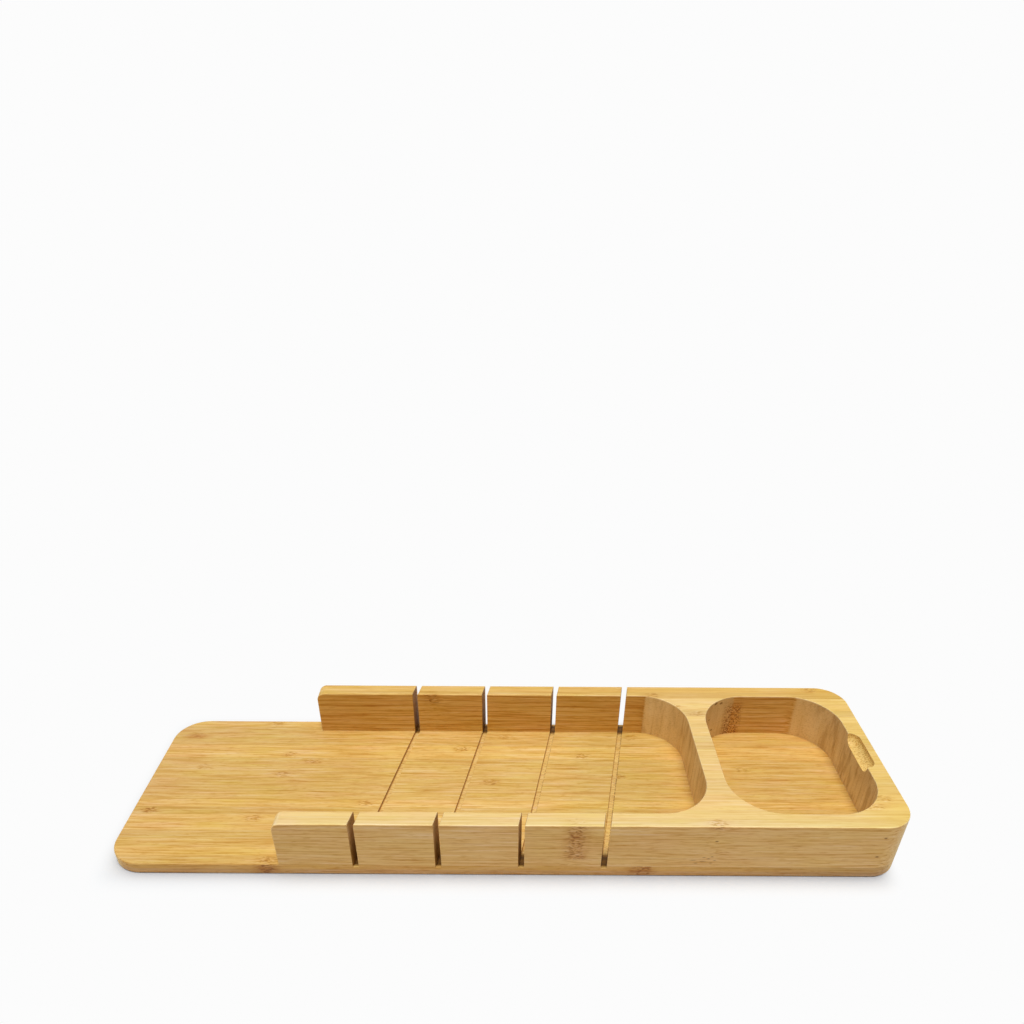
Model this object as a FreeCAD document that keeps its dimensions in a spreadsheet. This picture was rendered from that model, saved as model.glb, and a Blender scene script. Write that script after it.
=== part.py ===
import FreeCAD
import Part

import math
import os

import Sketcher

# Bread board with a dip well: a thin base board, two sawn rails and a routed end frame, in bamboo.
# Millimetres and degrees. The origin is at the middle of the underside. +X runs along the board
# to the well, +Y to the rear rail, and +Z is up.

V = FreeCAD.Vector

SIZES = {
    "board_length": (510, "outer length, end to end"),
    "board_width": (150, "outer width, over both rails"),
    "base_thick": (8.5, "thickness of the base board"),
    "frame_height": (35, "height of the rails and the end frame above the base board"),
    "wall_thick": (12, "thickness of the rails and of the end frame's outer wall"),
    "rail_start": (112, "left end of the board to the free ends of the rails"),
    "base_corner": (22, "plan radius of the base board's two left corners"),
    "frame_corner": (20, "plan radius of the two right corners"),
    "rail_end_round": (6, "radius of the rails' free upper corners"),
    "cut_count": (4, "knife slots in each rail"),
    "first_cut": (161, "left end of the board to the middle of the first slot, at the front face"),
    "cut_pitch": (52.5, "slot to slot along the board"),
    "cut_angle": (10.4, "bias of the slots in plan"),
    "kerf": (3.8, "width of the saw cut that makes slots and grooves"),
    "groove_depth": (2, "depth of the saw's groove in the base board"),
    "divider_thick": (13, "wall between the bread bed and the well"),
    "well_length": (98, "length of the well along the board"),
    "well_corner": (33, "plan radius of the well's corners"),
    "bed_corner": (32, "plan radius of the bread bed's two closed corners"),
    "notch_lip": (5.5, "wall left outside the finger notch"),
    "notch_depth": (7, "depth of the finger notch below the top"),
    "notch_travel": (24, "travel of the notch's round-nosed cutter along the wall"),
    "edge_round": (1, "easing of the base board's edges"),
    "rail_edge_round": (0.8, "easing of the upper edges of rails and frame"),
}

# Places and derived sizes, as formulas on the sheet.
LEFT = "-Sizes.board_length / 2"
RIGHT = "Sizes.board_length / 2"
FRONT = "-Sizes.board_width / 2"
REAR = "Sizes.board_width / 2"
FRONT_INNER = f"{FRONT} + Sizes.wall_thick"
REAR_INNER = f"{REAR} - Sizes.wall_thick"
RAIL_LEFT = f"{LEFT} + Sizes.rail_start"
WELL_RIGHT = f"{RIGHT} - Sizes.wall_thick"
WELL_LEFT = f"{WELL_RIGHT} - Sizes.well_length"
BED_RIGHT = f"{WELL_LEFT} - Sizes.divider_thick"
TOP = "Sizes.base_thick + Sizes.frame_height"
HALF_SLOT = "Sizes.kerf / 2 / cos(Sizes.cut_angle)"
NOTCH_RADIUS = "Sizes.wall_thick - Sizes.notch_lip"
NOTCH_AXIS_HEIGHT = f"{TOP} - Sizes.notch_depth + {NOTCH_RADIUS}"

# Two lengths or places closer than this, in mm, count as the same.
SAME = 1e-4


def make_sheet(document):
    """Write each size to the sheet, with its name as the alias of its cell."""
    new_sheet = document.addObject("Spreadsheet::Sheet", "Sizes")
    for row, (name, (value, meaning)) in enumerate(SIZES.items(), start=1):
        new_sheet.set(f"A{row}", name)
        new_sheet.set(f"B{row}", str(value))
        new_sheet.set(f"C{row}", meaning)
        new_sheet.setAlias(f"B{row}", name)
    document.recompute()
    return new_sheet


doc = FreeCAD.newDocument("BreadBoard")
sheet = make_sheet(doc)
cut_count = int(round(sheet.cut_count))


def value_of(formula):
    result = sheet.evalExpression(formula)
    return float(getattr(result, "Value", result))


def cut_side(number, y, side):
    """X of one side of a numbered slot, -1 for its left and 1 for its right, at a given Y."""
    middle = f"{LEFT} + Sizes.first_cut + {number - 1} * Sizes.cut_pitch"
    bias = f"(({y}) - ({FRONT})) * tan(Sizes.cut_angle)"
    return f"{middle} + {bias} + ({side}) * {HALF_SLOT}"


def add_body(name):
    body = doc.addObject("PartDesign::Body", name)
    body.Label = name
    return body


def origin_feature(body, role):
    return next(feature for feature in body.Origin.OriginFeatures if feature.Role == role)


def attach(feature, body, role, x=None, y=None, z=None):
    """Attach a sketch or a solid to the body's own plane, moved in it by formulas."""
    feature.AttachmentSupport = [(origin_feature(body, role), "")]
    feature.MapMode = "FlatFace"
    for axis, formula in (("x", x), ("y", y), ("z", z)):
        if formula is not None:
            feature.setExpression(f"AttachmentOffset.Base.{axis}", formula)


def add_sketch(body, name, role="XY_Plane", height=None):
    sketch = body.newObject("Sketcher::SketchObject", name)
    attach(sketch, body, role, z=height)
    return sketch


def hold(sketch, name, kind, geometry, point, formula):
    """Hold a point's distance from the origin along X or Y, or a radius, at a formula's value."""
    if kind == "Radius":
        constraint = Sketcher.Constraint(kind, geometry, value_of(formula))
    else:
        constraint = Sketcher.Constraint(kind, -1, 1, geometry, point, value_of(formula))
    index = sketch.addConstraint(constraint)
    sketch.renameConstraint(index, name)
    sketch.setExpression(f"Constraints.{name}", formula)


def draw_outline(sketch, corners):
    """Draw a closed outline through corners, given counterclockwise as X, Y and radius or None.

    Its sides run along X or Y, and a slanted side has two sharp ends.
    """
    points = [V(value_of(x), value_of(y), 0) for x, y, radius in corners]
    radii = [value_of(radius) if radius else 0 for x, y, radius in corners]
    following = [(index + 1) % len(corners) for index in range(len(corners))]
    ways = [(points[after] - points[index]).normalize() for index, after in enumerate(following)]
    for index, after in enumerate(following):
        start = points[index] + ways[index] * radii[index]
        end = points[after] - ways[index] * radii[after]
        sketch.addGeometry(Part.LineSegment(start, end))
        hold_side(sketch, index, after, ways[index], corners)
    for index, after in enumerate(following):
        if not radii[after]:
            sketch.addConstraint(Sketcher.Constraint("Coincident", index, 2, after, 1))
            continue
        centre = points[after] + (ways[after] - ways[index]) * radii[after]
        circle = Part.Circle(centre, V(0, 0, 1), radii[after])
        begin = math.atan2(-ways[after].y, -ways[after].x)
        arc = sketch.addGeometry(Part.ArcOfCircle(circle, begin, begin + math.pi / 2))
        sketch.addConstraint(Sketcher.Constraint("Tangent", index, 2, arc, 1))
        sketch.addConstraint(Sketcher.Constraint("Tangent", arc, 2, after, 1))
        hold(sketch, f"radius{after}", "Radius", arc, None, corners[after][2])


def hold_side(sketch, index, after, way, corners):
    """Hold one straight side of an outline on the lines that its corners give."""
    if abs(way.y) < SAME:
        sketch.addConstraint(Sketcher.Constraint("Horizontal", index))
        hold(sketch, f"y{index}", "DistanceY", index, 1, corners[index][1])
    elif abs(way.x) < SAME:
        sketch.addConstraint(Sketcher.Constraint("Vertical", index))
        hold(sketch, f"x{index}", "DistanceX", index, 1, corners[index][0])
    else:
        hold(sketch, f"start_x{index}", "DistanceX", index, 1, corners[index][0])
        hold(sketch, f"end_x{index}", "DistanceX", index, 2, corners[after][0])


def add_pad(body, name, sketch, length):
    pad = body.newObject("PartDesign::Pad", name)
    pad.Profile = sketch
    pad.setExpression("Length", length)
    doc.recompute()
    return pad


def check_cut(body, name, before):
    """Stop if a cut has taken nothing off the volume that the body had before."""
    doc.recompute()
    if body.Shape.Volume > before - SAME:
        raise ValueError(f"{name} cuts nothing")


def add_pocket(body, name, sketch, length, midplane=False):
    before = body.Shape.Volume
    pocket = body.newObject("PartDesign::Pocket", name)
    pocket.Profile = sketch
    pocket.setExpression("Length", length)
    pocket.Midplane = midplane
    check_cut(body, name, before)
    return pocket


def add_fillet(body, name, base, edges, radius):
    fillet = body.newObject("PartDesign::Fillet", name)
    fillet.Base = (base, edges)
    fillet.setExpression("Radius", radius)
    doc.recompute()
    return fillet


def flat_edges(feature, height):
    """The edges of a feature that lie flat at one height, as a dictionary of name to box."""
    boxes = {
        f"Edge{index}": edge.BoundBox
        for index, edge in enumerate(feature.Shape.Edges, start=1)
    }
    return {
        name: box
        for name, box in boxes.items()
        if abs(box.ZMin - height) < SAME and abs(box.ZMax - height) < SAME
    }


def lies_across(box, x):
    """True for an edge that runs across the board at one X."""
    return abs(box.XMin - x) < SAME and abs(box.XMax - x) < SAME


def build_base_board():
    """The serving end is eased above, but the edge stays square where the rails stand on it."""
    body = add_body("base_board")
    rail_left = value_of(RAIL_LEFT)

    serving_outline = add_sketch(body, "serving_end_outline")
    draw_outline(
        serving_outline,
        [
            (LEFT, FRONT, "Sizes.base_corner"),
            (RAIL_LEFT, FRONT, None),
            (RAIL_LEFT, REAR, None),
            (LEFT, REAR, "Sizes.base_corner"),
        ],
    )
    serving_end = add_pad(body, "serving_end", serving_outline, "Sizes.base_thick")
    upper = flat_edges(serving_end, value_of("Sizes.base_thick"))
    outer = [name for name, box in upper.items() if not lies_across(box, rail_left)]
    add_fillet(body, "serving_end_easing", serving_end, outer, "Sizes.edge_round")

    bed_outline = add_sketch(body, "bed_outline")
    draw_outline(
        bed_outline,
        [
            (RAIL_LEFT, FRONT, None),
            (RIGHT, FRONT, "Sizes.frame_corner"),
            (RIGHT, REAR, "Sizes.frame_corner"),
            (RAIL_LEFT, REAR, None),
        ],
    )
    bed = add_pad(body, "bed", bed_outline, "Sizes.base_thick")
    add_fillet(body, "underside_easing", bed, list(flat_edges(bed, 0)), "Sizes.edge_round")

    groove_outline = add_sketch(body, "groove_outline", height="Sizes.base_thick")
    past_front = f"{FRONT} - Sizes.kerf"
    past_rear = f"{REAR} + Sizes.kerf"
    draw_outline(
        groove_outline,
        [
            (cut_side(1, past_front, -1), past_front, None),
            (cut_side(1, past_front, 1), past_front, None),
            (cut_side(1, past_rear, 1), past_rear, None),
            (cut_side(1, past_rear, -1), past_rear, None),
        ],
    )
    first_groove = add_pocket(body, "first_groove", groove_outline, "Sizes.groove_depth")
    if cut_count > 1:
        before = body.Shape.Volume
        grooves = body.newObject("PartDesign::LinearPattern", "grooves")
        grooves.Originals = [first_groove]
        grooves.Direction = (origin_feature(body, "X_Axis"), [""])
        grooves.setExpression("Length", "(Sizes.cut_count - 1) * Sizes.cut_pitch")
        grooves.setExpression("Occurrences", "Sizes.cut_count")
        body.Tip = grooves
        check_cut(body, "grooves", before)
    return body


def build_rail_block(name, number, low_y, high_y):
    """One block of a rail, from the slot before it, or from the free end, to its own slot."""
    body = add_body(name)
    top = value_of(TOP)
    rail_left = value_of(RAIL_LEFT)
    has_free_end = number == 1
    left_at = {
        y: RAIL_LEFT if has_free_end else cut_side(number - 1, y, 1) for y in (low_y, high_y)
    }
    outline = add_sketch(body, f"{name}_outline", height="Sizes.base_thick")
    draw_outline(
        outline,
        [
            (left_at[low_y], low_y, None),
            (cut_side(number, low_y, -1), low_y, None),
            (cut_side(number, high_y, -1), high_y, None),
            (left_at[high_y], high_y, None),
        ],
    )
    block = add_pad(body, f"{name}_block", outline, "Sizes.frame_height")
    sharp = flat_edges(block, top)
    if has_free_end:
        corner = [edge for edge, box in sharp.items() if lies_across(box, rail_left)]
        block = add_fillet(body, f"{name}_corner", block, corner, "Sizes.rail_end_round")
        round_end = rail_left + value_of("Sizes.rail_end_round")
        upper = flat_edges(block, top)
        sharp = [edge for edge, box in upper.items() if not lies_across(box, round_end)]
    add_fillet(body, f"{name}_easing", block, list(sharp), "Sizes.rail_edge_round")
    return body


def build_end_frame():
    """The thick block at the right, with the bed's closed end, the dip well and the notch."""
    body = add_body("end_frame")
    outline = add_sketch(body, "frame_outline", height="Sizes.base_thick")
    draw_outline(
        outline,
        [
            (cut_side(cut_count, FRONT, 1), FRONT, None),
            (RIGHT, FRONT, "Sizes.frame_corner"),
            (RIGHT, REAR, "Sizes.frame_corner"),
            (cut_side(cut_count, REAR, 1), REAR, None),
        ],
    )
    add_pad(body, "frame_block", outline, "Sizes.frame_height")

    bed_end_outline = add_sketch(body, "bed_end_outline", height=TOP)
    past_left = f"{cut_side(cut_count, FRONT, -1)} - Sizes.kerf"
    draw_outline(
        bed_end_outline,
        [
            (past_left, FRONT_INNER, None),
            (BED_RIGHT, FRONT_INNER, "Sizes.bed_corner"),
            (BED_RIGHT, REAR_INNER, "Sizes.bed_corner"),
            (past_left, REAR_INNER, None),
        ],
    )
    add_pocket(body, "bed_end", bed_end_outline, "Sizes.frame_height")

    well_outline = add_sketch(body, "well_outline", height=TOP)
    well_corners = (
        (WELL_LEFT, FRONT_INNER),
        (WELL_RIGHT, FRONT_INNER),
        (WELL_RIGHT, REAR_INNER),
        (WELL_LEFT, REAR_INNER),
    )
    draw_outline(well_outline, [(x, y, "Sizes.well_corner") for x, y in well_corners])
    well = add_pocket(body, "dip_well", well_outline, "Sizes.frame_height")

    upper = list(flat_edges(well, value_of(TOP)))
    add_fillet(body, "frame_easing", well, upper, "Sizes.rail_edge_round")
    cut_finger_notch(body)
    return body


def cut_finger_notch(body):
    """A round-nosed cutter goes down in the well's right wall and travels along it."""
    past_top = f"{NOTCH_AXIS_HEIGHT} + {NOTCH_RADIUS} + Sizes.notch_depth"
    profile = add_sketch(body, "notch_profile", role="XZ_Plane")
    draw_round_nose(profile, WELL_RIGHT, NOTCH_AXIS_HEIGHT, past_top)
    add_pocket(body, "notch_channel", profile, "Sizes.notch_travel", midplane=True)
    for end, way in (("front", -1), ("rear", 1)):
        y = f"({way}) * Sizes.notch_travel / 2"
        before = body.Shape.Volume
        for shape, kind in (("nose", "Sphere"), ("shank", "Cylinder")):
            cutter = body.newObject(f"PartDesign::Subtractive{kind}", f"notch_{end}_{shape}")
            attach(cutter, body, "XY_Plane", x=WELL_RIGHT, y=y, z=NOTCH_AXIS_HEIGHT)
            cutter.setExpression("Radius", NOTCH_RADIUS)
        cutter.setExpression("Height", f"{past_top} - ({NOTCH_AXIS_HEIGHT})")
        check_cut(body, f"the notch's {end} end", before)


def draw_round_nose(sketch, x, axis_height, past_top):
    """The round-nosed cutter's own outline, from its nose up past the top of the frame."""
    middle = value_of(x)
    low = value_of(axis_height)
    high = value_of(past_top)
    radius = value_of(NOTCH_RADIUS)
    circle = Part.Circle(V(middle, low, 0), V(0, 0, 1), radius)
    nose = sketch.addGeometry(Part.ArcOfCircle(circle, math.pi, 2 * math.pi))
    corners = [
        V(middle + radius, low, 0),
        V(middle + radius, high, 0),
        V(middle - radius, high, 0),
        V(middle - radius, low, 0),
    ]
    right, lid, left = (
        sketch.addGeometry(Part.LineSegment(start, end))
        for start, end in zip(corners, corners[1:])
    )
    sketch.addConstraint(Sketcher.Constraint("Tangent", nose, 2, right, 1))
    sketch.addConstraint(Sketcher.Constraint("Coincident", right, 2, lid, 1))
    sketch.addConstraint(Sketcher.Constraint("Coincident", lid, 2, left, 1))
    sketch.addConstraint(Sketcher.Constraint("Tangent", left, 2, nose, 1))
    sketch.addConstraint(Sketcher.Constraint("Vertical", right))
    sketch.addConstraint(Sketcher.Constraint("Horizontal", lid))
    hold(sketch, "nose_radius", "Radius", nose, None, NOTCH_RADIUS)
    hold(sketch, "nose_x", "DistanceX", nose, 3, x)
    hold(sketch, "nose_height", "DistanceY", nose, 3, axis_height)
    hold(sketch, "lid_height", "DistanceY", lid, 1, past_top)


bodies = [build_base_board()]
for rail, low_side, high_side in (
    ("front_rail", FRONT, FRONT_INNER),
    ("rear_rail", REAR_INNER, REAR),
):
    for block_number in range(1, cut_count + 1):
        block_name = f"{rail}_{block_number}"
        bodies.append(build_rail_block(block_name, block_number, low_side, high_side))
bodies.append(build_end_frame())
doc.recompute()

for item in doc.Objects:
    if "Invalid" in item.State or "Error" in item.State:
        raise ValueError(f"{item.Name} failed: {item.State}")
for finished in bodies:
    shape = finished.Shape
    if shape.isNull() or not shape.isValid() or len(shape.Solids) != 1:
        raise ValueError(f"{finished.Label} is not one valid solid")

os.makedirs("parts", exist_ok=True)
for finished in bodies:
    finished.Shape.exportStep(f"parts/{finished.Label}.step")
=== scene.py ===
import math
import random
import typing

import bpy
from bpy.props import FloatProperty, FloatVectorProperty, PointerProperty
from mathutils import Matrix, Vector


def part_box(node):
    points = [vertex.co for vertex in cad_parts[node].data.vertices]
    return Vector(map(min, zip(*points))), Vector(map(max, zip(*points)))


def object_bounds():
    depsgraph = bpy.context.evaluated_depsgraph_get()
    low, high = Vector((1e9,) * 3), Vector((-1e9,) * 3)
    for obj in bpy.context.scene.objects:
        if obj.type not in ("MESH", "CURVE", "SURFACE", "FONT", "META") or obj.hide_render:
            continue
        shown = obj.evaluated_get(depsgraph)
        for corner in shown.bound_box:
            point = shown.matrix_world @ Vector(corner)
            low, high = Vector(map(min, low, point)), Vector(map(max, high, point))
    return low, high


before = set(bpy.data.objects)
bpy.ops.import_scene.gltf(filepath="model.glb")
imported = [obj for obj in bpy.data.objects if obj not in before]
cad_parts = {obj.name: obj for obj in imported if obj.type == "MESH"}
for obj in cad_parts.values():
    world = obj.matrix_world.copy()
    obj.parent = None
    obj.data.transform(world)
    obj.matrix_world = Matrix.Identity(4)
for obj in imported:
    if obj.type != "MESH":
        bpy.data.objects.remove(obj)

# The finish of a bread board with a dip well: a base board, sawn rails and a routed end frame,
# all in side-pressed bamboo, on a pale studio floor. Metres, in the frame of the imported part,
# but the patterns in the wood are laid out in millimetres.

bl_info = {
    "name": "Bread board with dip well",
    "version": (1, 0, 0),
    "blender": (4, 5, 0),
    "location": "View3D > Sidebar > Bread board",
    "description": "Pressed bamboo finishes and the studio stage of a bread board with a dip well",
    "category": "Material",
}

CAD_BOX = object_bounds()
MM = 0.001

RAILS = sorted(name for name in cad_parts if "_rail_" in name)


def in_mm(length):
    """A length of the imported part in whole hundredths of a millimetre."""
    return round(length / MM, 2)


# Places on the board, in millimetres from its middle.
FRONT, RIGHT, TOP = in_mm(CAD_BOX[0].y), in_mm(CAD_BOX[1].x), in_mm(CAD_BOX[1].z)
BASE_TOP = in_mm(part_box("base_board")[1].z)
RAIL_START = in_mm(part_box("front_rail_1")[0].x)
BED_HALF = -in_mm(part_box("front_rail_1")[1].y)
# The frame's outer wall is as thick as the rails, the well is 98 mm long, and the finger notch
# leaves a lip of 5.5 mm outside it.
WELL_RIGHT = RIGHT - (-FRONT - BED_HALF)
WELL_LEFT = WELL_RIGHT - 98
NOTCH_RIGHT = RIGHT - 5.5
# The saw's path: the first cut's middle at the front face, the step from cut to cut, their slant
# and their width. Each cut has one block of either rail on its left.
FIRST_CUT, CUT_STEP, CUT_SLANT, KERF = -94.0, 52.5, math.tan(math.radians(10.4)), 3.8
CUTS = len(RAILS) // 2
# Height of one layer of the culm, as the broad faces of the strips show them.
CULM_LAYER = 4.4

# Kinds of node with their settings, as add() takes them.
ABSOLUTE = "ShaderNodeMath", {"operation": "ABSOLUTE"}
PLUS = "ShaderNodeMath", {"operation": "ADD"}
MINUS = "ShaderNodeMath", {"operation": "SUBTRACT"}
TIMES = "ShaderNodeMath", {"operation": "MULTIPLY"}
OVER = "ShaderNodeMath", {"operation": "DIVIDE"}
TIMES_PLUS = "ShaderNodeMath", {"operation": "MULTIPLY_ADD"}
WHOLE = "ShaderNodeMath", {"operation": "FLOOR"}
FRACTION = "ShaderNodeMath", {"operation": "FRACT"}
ZIGZAG = "ShaderNodeMath", {"operation": "PINGPONG"}
WITHIN = "ShaderNodeMath", {"operation": "COMPARE"}
LEAST = "ShaderNodeMath", {"operation": "MINIMUM"}
MOST = "ShaderNodeMath", {"operation": "MAXIMUM"}
MOVE = "ShaderNodeVectorMath", {"operation": "ADD"}
SCALE = "ShaderNodeVectorMath", {"operation": "SCALE"}
FOLD = "ShaderNodeVectorMath", {"operation": "ABSOLUTE"}
CLIP = "ShaderNodeVectorMath", {"operation": "MAXIMUM"}
LENGTH = "ShaderNodeVectorMath", {"operation": "LENGTH"}
DISTANCE = "ShaderNodeVectorMath", {"operation": "DISTANCE"}
STRETCH_ALONG = "ShaderNodeVectorMath", {"operation": "MULTIPLY"}
SPLIT = "ShaderNodeSeparateXYZ", {}
JOIN = "ShaderNodeCombineXYZ", {}
NOISE = "ShaderNodeTexNoise", {}
# Value, from, to, and the results at those two ends; either end may be the higher one.
STRETCH = "ShaderNodeMapRange", {}
SMOOTH = "ShaderNodeMapRange", {"interpolation_type": "SMOOTHSTEP"}
# Amount at socket 0, two colours, and the result.
COVER = "ShaderNodeMix", {"data_type": "RGBA"}
TINT = "ShaderNodeMix", {"data_type": "RGBA", "blend_type": "MULTIPLY"}
MIX_A, MIX_B, MIX_RESULT = 6, 7, 2


def linear(hex_colour):
    """An sRGB hex colour as linear red, green, blue and alpha."""
    values = [int(hex_colour[start : start + 2], 16) / 255 for start in (0, 2, 4)]
    return (*(v / 12.92 if v <= 0.04045 else ((v + 0.055) / 1.055) ** 2.4 for v in values), 1.0)


def add(tree, kind, settings, inputs, out=0):
    """Add a node with its settings and links, and return one of its outputs."""
    node = tree.nodes.new(kind)
    for name, value in settings.items():
        setattr(node, name, value)
    for key, value in inputs.items() if isinstance(inputs, dict) else enumerate(inputs):
        if isinstance(value, bpy.types.NodeSocket):
            tree.links.new(value, node.inputs[key])
        elif value is not None:
            node.inputs[key].default_value = value
    return node.outputs[out] if node.outputs else node


# Sizes and colours of the finish


class BambooSettings(bpy.types.PropertyGroup):
    """Sizes and colours of side-pressed bamboo, sanded and oiled."""

    strip_width: FloatProperty(
        name="Strip width",
        description="Width of one pressed strip, seen on the top faces",
        default=7.5 * MM,
        min=2 * MM,
        max=40 * MM,
        precision=4,
        unit="LENGTH",
    )
    fibre_width: FloatProperty(
        name="Fibre line width",
        description="Width of the finest line drawn; real fibre bundles are about 0.4 mm",
        default=0.9 * MM,
        min=0.2 * MM,
        max=5 * MM,
        precision=4,
        unit="LENGTH",
    )
    base_colour: FloatVectorProperty(
        name="Base board",
        description="Main colour of the base board's strips",
        default=linear("E2B865")[:3],
        subtype="COLOR",
    )
    frame_colour: FloatVectorProperty(
        name="Rails and frame",
        description="Main colour of the strips in the rails and the end frame",
        default=linear("EFCB82")[:3],
        subtype="COLOR",
    )
    rear_colour: FloatVectorProperty(
        name="Rear strips",
        description="Main colour of the two rearmost strips of the rails and the end frame",
        default=linear("E7BC66")[:3],
        subtype="COLOR",
    )
    end_colour: FloatVectorProperty(
        name="End grain",
        description="Colour of cut strip ends in the routed curves",
        default=linear("F0CF8F")[:3],
        subtype="COLOR",
    )
    sawn_colour: FloatVectorProperty(
        name="Sawn faces",
        description="Colour of the slot walls near the top, burnished by the saw",
        default=linear("CCA268")[:3],
        subtype="COLOR",
    )
    # Deep in the slots this colour is scorch from the saw and painted shade together.
    scorch_and_shade_colour: FloatVectorProperty(
        name="Scorched slots",
        description="Colour deep in the slots, where the saw ran hot",
        default=linear("9A6923")[:3],
        subtype="COLOR",
    )


class StageSettings(bpy.types.PropertyGroup):
    """Floor, light and camera of the studio."""

    floor_colour: FloatVectorProperty(
        name="Floor",
        description="Colour of the floor and the background",
        default=linear("FCFCFC")[:3],
        subtype="COLOR",
    )
    key_share: FloatProperty(
        name="Key light",
        description="Light on a level surface from the key, where 1 renders a colour as written",
        default=0.75,
        min=0,
        max=2,
    )
    room_share: FloatProperty(
        name="Room light",
        description="Light on a level surface from all round",
        default=0.25,
        min=0,
        max=2,
    )
    key_height: FloatProperty(
        name="Key height",
        description="Angle of the key light above the floor, in front of the board",
        default=math.radians(84),
        unit="ROTATION",
    )
    key_spread: FloatProperty(
        name="Key spread",
        description="Angular width of the key light, which softens its shadows",
        default=math.radians(24),
        unit="ROTATION",
    )
    lens: FloatProperty(
        name="Lens",
        description="Focal length on a 36 mm sensor, in millimetres",
        default=27.669,
        min=5,
    )


# Side-pressed bamboo

# Knuckles seen in the photograph: millimetres along the board from its middle, the number of
# the strip, counted from the front edge, and the height above the table where the knuckle ends.
BASE_KNUCKLES = (
    (-237, 17, 0), (-161, 14, 0), (-220, 12, 0), (-161, 11, 0), (-33, 15, 0), (-1, 17, 0),
    (-10, 10, 0), (-243, 6, 0), (-170, 5, 0), (-96, 7, 0), (-151, 0, 0), (-180, 19, 0),
    (82, 11, 0), (95, 17, 0), (-143, 13, 0), (57, 14, 0), (88, 0, 0), (174, 12, 0),
)
RAIL_KNUCKLES = ((45, 0, 17), (-56, 18, 37))
FRAME_KNUCKLES = ((140, 15, 0), (242, 3, 0), (234, 2, 0), (132, 0, 43.2))
KNUCKLES_PER_STRIP = 3

# Dark pits and dashes in the end frame: the place and radius of each one, and how many times
# longer than wide it is.
PITS = (
    (132, -75, 31.2, 0.8, 2), (235.6, -75, 34.7, 0.8, 2), (234.4, -75, 18.4, 0.9, 2),
    (157.5, 55.8, 41.6, 1.7, 2), (162.3, 58.9, 39.8, 1.4, 2), (157.2, 55.6, 17, 1.2, 2),
    (153.1, 51.6, 29.5, 1.1, 2), (119.5, -75, 14.5, 0.36, 9), (125.5, -75, 13.6, 0.36, 9),
    (121.2, -75, 11.9, 0.34, 6), (130.8, -75, 12.1, 0.36, 4), (129, -75, 15.9, 0.36, 4),
    (131, -75, 17.7, 0.42, 3), (126, -75, 17.0, 0.34, 5), (133, -75, 14.4, 0.34, 4),
)
# A reddish smear in the rear left corner of the base board, given in the same way.
SMEARS = ((-238, 54.6, 8.5, 5.0, 3.2),)

# What lines, layers and flecks multiply the colour below them by.
DARKER = (0.80, 0.66, 0.38)
PALER = (1.07, 1.17, 1.72)
KNOT = (0.58, 0.44, 0.26)


class Stock(typing.NamedTuple):
    """The bamboo that one piece is cut from."""

    # For the rails and the end frame, these tints include painted highlights.
    shade: typing.Callable  # gives the tints that only this piece has, by place
    knuckles: tuple  # the ones seen in the photograph
    spare: float  # the chance of one more knuckle in a strip
    seed: int
    calm: tuple  # how strong the lines on the top are at the front, and elsewhere
    top_knots: float  # how strong the knuckles on the top are
    reach: float  # how long the lines are, as a share of the longest stock's
    marks: tuple = ()  # pits or smears
    mark_tint: tuple = (1, 1, 1)


def knuckle_rows(stock, strips):
    """For each strip, the places of its knuckles along the board and the height they end at."""
    draw = random.Random(stock.seed)
    apart, nowhere = 130, 2 * -RIGHT
    rows = []
    for strip in range(strips):
        places = [x for x, number, _ in stock.knuckles if number == strip][:KNUCKLES_PER_STRIP]
        ends = [height for _, number, height in stock.knuckles if number == strip]
        while len(places) < KNUCKLES_PER_STRIP:
            x = draw.uniform(-RIGHT, RIGHT)
            clear = all(abs(x - other) > apart for other in places)
            places.append(x if clear and draw.random() < stock.spare else nowhere)
        rows.append((places, min(ends, default=0)))
    return rows


def stain(tree, skin, layers):
    """Tint a colour in layers, each an amount and the colour that it is multiplied by."""
    for amount, tint in layers:
        skin = add(tree, *TINT, {0: amount, MIX_A: skin, MIX_B: (*tint, 1)}, MIX_RESULT)
    return skin


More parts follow.
